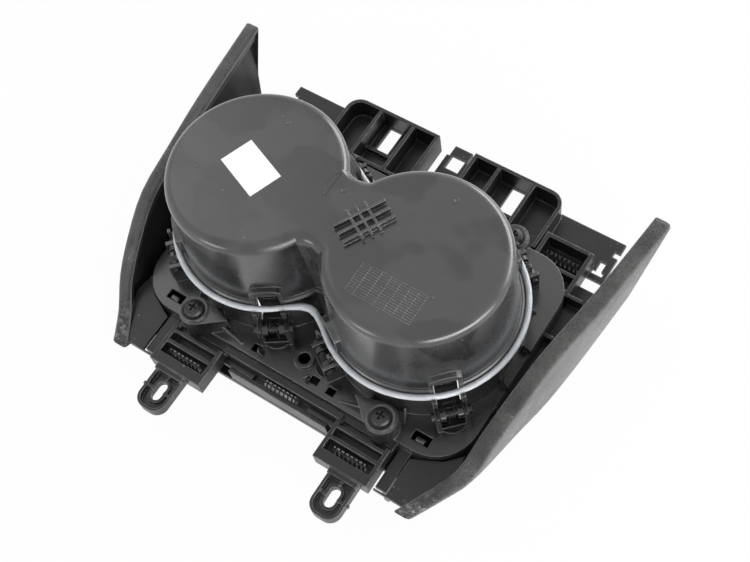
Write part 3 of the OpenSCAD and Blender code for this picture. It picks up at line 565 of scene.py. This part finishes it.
def choose(obj, test):
    """Selects, in edit mode, the faces whose middle and normal pass the test."""
    bpy.ops.object.mode_set(mode="EDIT")
    bpy.ops.mesh.select_mode(type="FACE")
    bpy.ops.mesh.select_all(action="DESELECT")
    bpy.ops.object.mode_set(mode="OBJECT")
    for face in obj.data.polygons:
        face.select = test(face.center, face.normal)
    bpy.ops.object.mode_set(mode="EDIT")


def apply_modifier(obj, kind, **settings):
    made = obj.modifiers.new(kind.title(), kind)
    for key, value in settings.items():
        setattr(made, key, value)
    bpy.ops.object.modifier_apply(modifier=made.name)


def place_mesh(obj, at=(0, 0, 0), turn=0.0):
    """Turns the mesh about Z, moves it to its place and leaves the object at the origin."""
    obj.matrix_world = Matrix.Translation(Vector(at)) @ Matrix.Rotation(turn, 4, "Z")
    bpy.context.view_layer.objects.active = obj
    obj.select_set(True)
    bpy.ops.object.transform_apply(location=True, rotation=True, scale=True)
    return obj


def copied(obj, at=(0, 0, 0), turn=0.0):
    """A copy of a model that is still at the origin, with its own mesh, in its place."""
    other = obj.copy()
    other.data = obj.data.copy()
    bpy.context.scene.collection.objects.link(other)
    deselect()
    return place_mesh(other, at, turn)


def drop(obj):
    bpy.data.objects.remove(obj, do_unlink=True)


def joined(parts, name, finish, smooth=35.0, rides=True):
    """One piece from several, with its finish, riding on the module unless it bends across a joint."""
    deselect()
    for part in parts:
        part.select_set(True)
    bpy.context.view_layer.objects.active = parts[0]
    if len(parts) > 1:
        bpy.ops.object.join()
    piece = bpy.context.view_layer.objects.active
    bpy.ops.object.shade_smooth_by_angle(angle=math.radians(smooth))
    piece.name = name
    piece.data.name = name
    piece.data.materials.clear()
    piece.data.materials.append(FINISHES[finish])
    if rides:
        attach(piece, MODULE)
    return piece


def block_with_top_chosen(length, width, height, along):
    """A block on Z = 0 whose middle is at X = along, in edit mode with its top face selected."""
    deselect()
    bpy.ops.mesh.primitive_cube_add(size=1)
    obj = bpy.context.object
    obj.scale = (length, width, height)
    obj.location = (along, 0, height / 2)
    bpy.ops.object.transform_apply(location=True, rotation=True, scale=True)
    choose(obj, lambda middle, normal: normal.z > 0.5)
    return obj


def eased(obj, edge):
    """Leaves edit mode and rounds the sharp edges."""
    bpy.ops.object.mode_set(mode="OBJECT")
    apply_modifier(obj, "BEVEL", width=edge, segments=2, limit_method="ANGLE")
    return obj


def bar(length, width, height, taper=0.8, edge=0.12 * MM):
    """A moulded bar along X that narrows upwards, standing on Z = 0, with eased edges."""
    obj = block_with_top_chosen(length, width, height, 0)
    bpy.ops.transform.resize(value=(1 - (1 - taper) * width / length, taper, 1))
    return eased(obj, edge)


def wedge(length, width, height, nose=0.12, edge=0.12 * MM):
    """A gusset: full height at X = 0, falling to a foot at X = length."""
    obj = block_with_top_chosen(length, width, height, length / 2)
    bpy.ops.transform.translate(value=(-length * 0.4, 0, 0))
    bpy.ops.transform.resize(value=(nose, 0.8, 1))
    return eased(obj, edge)


def washer_ring(outer, inner, height, sides=48, dish=0.6, edge=0.08 * MM):
    """A low round ring on Z = 0: a disc whose middle is inset and pushed down."""
    deselect()
    bpy.ops.mesh.primitive_cylinder_add(vertices=sides, radius=outer, depth=height,
                                        location=(0, 0, height / 2))
    obj = bpy.context.object
    bpy.ops.object.transform_apply(location=True, rotation=True, scale=True)
    choose(obj, lambda middle, normal: normal.z > 0.5)
    bpy.ops.mesh.inset(thickness=outer - inner)
    bpy.ops.transform.translate(value=(0, 0, -height * dish))
    return eased(obj, edge)


def at_well(side, angle, radius, z):
    """A point round the left (-1) or right (1) well, with the angle measured at the left well."""
    a = math.radians(angle)
    x = -CUP_X + radius * math.cos(a)
    return (x if side < 0 else -x, LINE_Y + radius * math.sin(a), z)


def outward(side, angle):
    """The turn about Z that points away from the well's axis."""
    a = math.radians(angle)
    return a if side < 0 else math.pi - a


# Pieces
class CUPHOLDER_OT_finishes(bpy.types.Operator):
    """Gives each part of the model its procedural finish"""
    bl_idname = "cup_holder.finishes"
    bl_label = "Finishes"

    def execute(self, context):
        build_groups()
        build_finishes()
        slots = {part["node"]: part["material_slot"] for part in frame["record"]["subparts"]}
        for name, obj in frame["nodes"].items():
            material = FINISHES[slots[name]]
            if not obj.material_slots:
                obj.data.materials.append(material)
            for place in obj.material_slots:
                place.material = material
        return {"FINISHED"}


def merged_copy(node, angle):
    """A copy of a node with its doubles merged, smooth but for edges sharper than the angle."""
    deselect()
    source = frame["nodes"][node]
    obj = source.copy()
    obj.data = source.data.copy()
    obj.parent = None
    for key in list(obj.keys()):
        del obj[key]
    bpy.context.scene.collection.objects.link(obj)
    obj.matrix_world = Matrix.Identity(4)
    obj.select_set(True)
    bpy.context.view_layer.objects.active = obj
    if obj.data.has_custom_normals:
        bpy.ops.mesh.customdata_custom_splitnormals_clear()
    edit_all()
    bpy.ops.mesh.remove_doubles(threshold=0.002 * MM)
    bpy.ops.object.mode_set(mode="OBJECT")
    bpy.ops.object.shade_smooth_by_angle(angle=math.radians(angle))
    return obj


class CUPHOLDER_OT_light_guide(bpy.types.Operator):
    """Makes the clear light guide as a smooth round rod"""
    bl_idname = "cup_holder.light_guide"
    bl_label = "Light guide"

    def execute(self, context):
        rod = merged_copy("light_guide", 60)
        apply_modifier(rod, "SUBSURF", levels=2, render_levels=2)
        edit_all()
        bpy.ops.transform.shrink_fatten(value=-0.08 * MM)
        bpy.ops.object.mode_set(mode="OBJECT")
        piece = joined([rod], "light_guide_rod", "clear_guide", 60)
        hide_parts("light_guide")
        return {"FINISHED"}


class CUPHOLDER_OT_springs(bpy.types.Operator):
    """Makes the fingers' torsion springs as round wire"""
    bl_idname = "cup_holder.springs"
    bl_label = "Torsion springs"

    def execute(self, context):
        for side, letter in ((-1, "l"), (1, "r")):
            for number, angle in enumerate(FINGER_ANGLES, 1):
                node = "spring_%s%d" % (letter, number)
                coil = merged_copy(node, 60)
                apply_modifier(coil, "SUBSURF", levels=1, render_levels=1)
                piece = joined([coil], "coil_%s%d" % (letter, number), "blackened_spring", 60, rides=False)
                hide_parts(node)
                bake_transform(piece)
        return {"FINISHED"}


class CUPHOLDER_OT_wing_skins(bpy.types.Operator):
    """Rounds the skins of the two wings over their lips and edges"""
    bl_idname = "cup_holder.wing_skins"
    bl_label = "Wing skins"

    def execute(self, context):
        for side in ("left", "right"):
            node = side + "_wing_skin"
            skin = merged_copy(node, 30)
            apply_modifier(skin, "BEVEL", width=0.45 * MM, segments=3, limit_method="ANGLE",
                           angle_limit=math.radians(28), use_clamp_overlap=True)
            edit_all()
            bpy.ops.mesh.remove_doubles(threshold=0.01 * MM)
            bpy.ops.mesh.dissolve_degenerate(threshold=0.002 * MM)
            bpy.ops.object.mode_set(mode="OBJECT")
            piece = joined([skin], side + "_soft_skin", "soft_skin", 40)
            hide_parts(node)
        return {"FINISHED"}


class CUPHOLDER_OT_end_lines(bpy.types.Operator):
    """Adds the raised lines on the closed ends: ejector marks, the waist arc and the ruled panel"""
    bl_idname = "cup_holder.end_lines"
    bl_label = "End lines"

    def execute(self, context):
        size = sizes()
        parts = []
        low = CUP_TOP - TOUCH
        for x, y, outer in EJECTOR_MARKS:
            ring = washer_ring(outer, outer - size.line_width, size.line_height, sides=32)
            parts.append(place_mesh(ring, (x, y, low)))
        # the arc that a mould insert left, its inner face pushed under the surface
        arc = crescent(WAIST_ARC_R, WAIST_ARC_R - size.line_width, size.line_height, WAIST_ARC_CUT, dish=1.4)
        parts.append(place_mesh(arc, (*WAIST_MARK, low), math.pi))
        joined(parts, "ejector_marks", "satin_black_plastic")
        lines = []
        row = bar(PANEL_LENGTH, size.line_width, size.line_height, taper=0.5, edge=0.04 * MM)
        for i in range(PANEL_ROWS + 1):
            down = PANEL_DEPTH * i / PANEL_ROWS
            lines.append(copied(row, (PANEL_LEFT + PANEL_LENGTH / 2, PANEL_TOP - down, low)))
        column = bar(PANEL_DEPTH, size.line_width, size.line_height, taper=0.5, edge=0.04 * MM)
        for share in PANEL_COLUMNS:
            across = PANEL_LEFT + PANEL_LENGTH * share
            lines.append(copied(column, (across, PANEL_TOP - PANEL_DEPTH / 2, low), math.pi / 2))
        drop(row)
        drop(column)
        joined(lines, "ruled_panel", "ruled_panel_plastic")
        return {"FINISHED"}


class CUPHOLDER_OT_gussets(bpy.types.Operator):
    """Adds the small gussets between the wells' skirts and the flange"""
    bl_idname = "cup_holder.gussets"
    bl_label = "Gussets"

    def execute(self, context):
        size = sizes()
        model = wedge(GUSSET_LENGTH, size.gusset_thickness, size.gusset_height)
        parts = []
        for side in (-1, 1):
            for angle in GUSSET_ANGLES:
                foot = at_well(side, angle, SKIRT_R + GUSSET_GAP, FLANGE_TOP - TOUCH)
                parts.append(copied(model, foot, outward(side, angle)))
        drop(model)
        joined(parts, "skirt_gussets", "satin_black_plastic")
        return {"FINISHED"}


def crescent(outer, inner, height, cut, dish=0.6):
    """The part of a low dished ring that lies beyond X = cut."""
    obj = washer_ring(outer, inner, height, sides=40, dish=dish)
    edit_all()
    bpy.ops.mesh.bisect(plane_co=(cut, 0, 0), plane_no=(1, 0, 0), use_fill=True, clear_inner=True)
    bpy.ops.object.mode_set(mode="OBJECT")
    return obj


class CUPHOLDER_OT_collars(bpy.types.Operator):
    """Adds the collars round the screw heads and the lips at the feet of the fingers"""
    bl_idname = "cup_holder.collars"
    bl_label = "Collars and lips"

    def execute(self, context):
        collar = washer_ring(outer=6.5 * MM, inner=5.2 * MM, height=0.7 * MM, sides=56, dish=0.9)
        parts = [copied(collar, (x, y, z - TOUCH))
                 for across, y, z in SCREW_SEATS for x in (-across, across)]
        drop(collar)
        joined(parts, "seat_collars", "satin_black_plastic")
        lip = crescent(outer=7.4 * MM, inner=6.1 * MM, height=1.2 * MM, cut=5 * MM)
        parts = [copied(lip, at_well(side, angle, LIP_PLACE_R, FLANGE_TOP - TOUCH), outward(side, angle))
                 for side in (-1, 1) for angle in FINGER_ANGLES]
        drop(lip)
        joined(parts, "finger_foot_lips", "satin_black_plastic")
        return {"FINISHED"}


class CUPHOLDER_OT_snaps(bpy.types.Operator):
    """Adds the snap tongues, the fins and hooks on the flange, and the front rail's cover plates"""
    bl_idname = "cup_holder.snaps"
    bl_label = "Snaps, fins and rail plates"

    def execute(self, context):
        tongue = bar(length=5.4 * MM, width=3.2 * MM, height=2.2 * MM, taper=0.7, edge=0.35 * MM)
        parts = [copied(tongue, (x, TONGUE_Y, TONGUE_Z)) for x in (-TONGUE_X, TONGUE_X)]
        drop(tongue)
        joined(parts, "snap_tongues", "satin_black_plastic")
        # fins that fall from the front screw towers towards the flange windows, and their hooks
        fin = wedge(length=18 * MM, width=1.7 * MM, height=5.5 * MM, nose=0.3, edge=0.3 * MM)
        hook = wedge(length=2.6 * MM, width=3.4 * MM, height=4.6 * MM, nose=0.35, edge=0.25 * MM)
        parts = [copied(model, (x, y, FLANGE_TOP - TOUCH), math.radians(turn))
                 for model, places in ((fin, FINS), (hook, HOOKS)) for x, y, turn in places]
        drop(fin)
        drop(hook)
        joined(parts, "flange_fins", "satin_black_plastic")
        # cover plates in the rail's channel, either side of the clip
        plate = bar(length=22 * MM, width=3.7 * MM, height=2.6 * MM, taper=0.94, edge=0.3 * MM)
        parts = [copied(plate, (x, RAIL_Y, RAIL_FLOOR - TOUCH)) for x in (-RAIL_PLATE_X, RAIL_PLATE_X)]
        drop(plate)
        joined(parts, "rail_plates", "matte_black_plastic")
        return {"FINISHED"}


class CUPHOLDER_OT_stage(bpy.types.Operator):
    """Sets the pale floor, the soft lights and the camera"""
    bl_idname = "cup_holder.stage"
    bl_label = "Stage"

    def execute(self, context):
        build_floor()
        build_lights()
        build_camera()
        return {"FINISHED"}


def where_seen(shader):
    """1 where the camera, a gloss or a clear part looks, 0 where the light itself arrives."""
    path = shader.node("ShaderNodeLightPath").outputs
    return shader.math("MAXIMUM", path["Is Camera Ray"],
                       shader.math("MAXIMUM", path["Is Glossy Ray"], path["Is Transmission Ray"]))


def white_where_seen(shader, lit, share):
    """Mixes white light into a surface where the camera, a gloss or a clear part sees it."""
    white = shader.node("ShaderNodeEmission", {"Color": WHITE, "Strength": 1.0})
    return shader.node("ShaderNodeMixShader", {
        0: shader.math("MULTIPLY", where_seen(shader), share), 1: lit, 2: white.outputs[0]}).outputs[0]


def build_floor():
    deselect()
    bpy.ops.mesh.primitive_grid_add(x_subdivisions=8, y_subdivisions=8, size=sizes().floor_size,
                                    location=(0, 0, -FLOOR_DROP))
    floor = bpy.context.object
    floor.name = "pale_floor"
    material = bpy.data.materials.new("Pale floor")
    material.use_nodes = True
    material.node_tree.nodes.clear()
    s = Shader(material.node_tree)
    tone = s.blend(s.noise(object_coords(s), 3.0, 2.0), (0.8, 0.8, 0.8, 1), (0.83, 0.83, 0.83, 1))
    surface = s.node("ShaderNodeBsdfPrincipled", {"Base Color": tone, "Roughness": 0.7})
    out = s.node("ShaderNodeOutputMaterial")
    s.feed(out.inputs["Surface"], white_where_seen(s, surface.outputs["BSDF"], FLOOR_WHITE))
    floor.data.materials.append(material)


def soft_box(name, direction, distance, size, power):
    """An area light that shines on the module from the given direction."""
    deselect()
    way = Vector(direction).normalized()
    bpy.ops.object.light_add(type="AREA", location=way * distance + Vector((0, 0, LAMP_AIM_Z)),
                             rotation=way.to_track_quat("Z", "Y").to_euler())
    lamp = bpy.context.object
    lamp.name = name
    lamp.data.shape = "RECTANGLE"
    lamp.data.size, lamp.data.size_y = size
    lamp.data.energy = power


def build_lights():
    world = bpy.data.worlds.new("White studio")
    bpy.context.scene.world = world
    world.use_nodes = True
    world.node_tree.nodes.clear()
    s = Shader(world.node_tree)
    # the light comes from all round and is dimmer overhead
    around = s.node("ShaderNodeTexCoord").outputs["Generated"]
    height = s.node("ShaderNodeSeparateXYZ", {0: around}).outputs["Z"]
    strength = s.span(height, 0.1, 0.85, 1.0, 0.75)
    lit = s.node("ShaderNodeBackground", {"Color": WHITE, "Strength": strength})
    white = s.node("ShaderNodeBackground", {"Color": WHITE, "Strength": 1.0})
    mixed = s.node("ShaderNodeMixShader", {0: where_seen(s), 1: lit.outputs[0], 2: white.outputs[0]})
    out = s.node("ShaderNodeOutputWorld")
    s.feed(out.inputs["Surface"], mixed.outputs[0])
    for box in SOFT_BOXES:
        soft_box(*box)


def build_camera():
    """The photograph's view: azimuth, elevation and roll about the aim point."""
    az, el, roll = (math.radians(v) for v in (VIEW_AZIMUTH, VIEW_ELEVATION, VIEW_ROLL))
    aim = Vector(VIEW_AIM) * MM
    back = Vector((math.sin(az) * math.cos(el), -math.cos(az) * math.cos(el), math.sin(el)))
    right = Vector((math.cos(az), math.sin(az), 0))
    up = back.cross(right)
    side = right * math.cos(roll) + up * math.sin(roll)
    top = up * math.cos(roll) - right * math.sin(roll)
    turn = Matrix((side, top, back)).transposed()
    deselect()
    bpy.ops.object.camera_add(location=aim + back * VIEW_DISTANCE, rotation=turn.to_euler())
    camera = bpy.context.object
    camera.name = "photo_camera"
    camera.data.lens = VIEW_LENS
    camera.data.sensor_width = 36
    camera.data.clip_start = 0.01
    camera.data.clip_end = 20
    bpy.context.scene.camera = camera
    bpy.context.scene.view_settings.view_transform = "Standard"


class CUPHOLDER_PT_panel(bpy.types.Panel):
    """Lists the pieces and the sizes and colours that they use"""
    bl_idname = "CUPHOLDER_PT_panel"
    bl_label = "Cup Holder"
    bl_space_type = "VIEW_3D"
    bl_region_type = "UI"
    bl_category = "Cup Holder"

    def draw(self, context):
        for group in (context.scene.cup_holder_sizes, context.scene.cup_holder_colours):
            for name in group.__annotations__:
                self.layout.prop(group, name)
        for step in STEPS:
            self.layout.operator(step.bl_idname)


STEPS = (CUPHOLDER_OT_finishes, CUPHOLDER_OT_light_guide, CUPHOLDER_OT_springs, CUPHOLDER_OT_wing_skins,
         CUPHOLDER_OT_end_lines, CUPHOLDER_OT_gussets, CUPHOLDER_OT_collars, CUPHOLDER_OT_snaps,
         CUPHOLDER_OT_stage)
CLASSES = (CupHolderSizes, CupHolderColours) + STEPS + (CUPHOLDER_PT_panel,)


def register():
    for cls in CLASSES:
        bpy.utils.register_class(cls)
    bpy.types.Scene.cup_holder_sizes = bpy.props.PointerProperty(type=CupHolderSizes)
    bpy.types.Scene.cup_holder_colours = bpy.props.PointerProperty(type=CupHolderColours)


def unregister():
    del bpy.types.Scene.cup_holder_colours
    del bpy.types.Scene.cup_holder_sizes
    for cls in reversed(CLASSES):
        bpy.utils.unregister_class(cls)


def main():
    register()
    for step in STEPS:
        group, name = step.bl_idname.split(".")
        getattr(getattr(bpy.ops, group), name)()


if __name__ == "__main__":
    main()
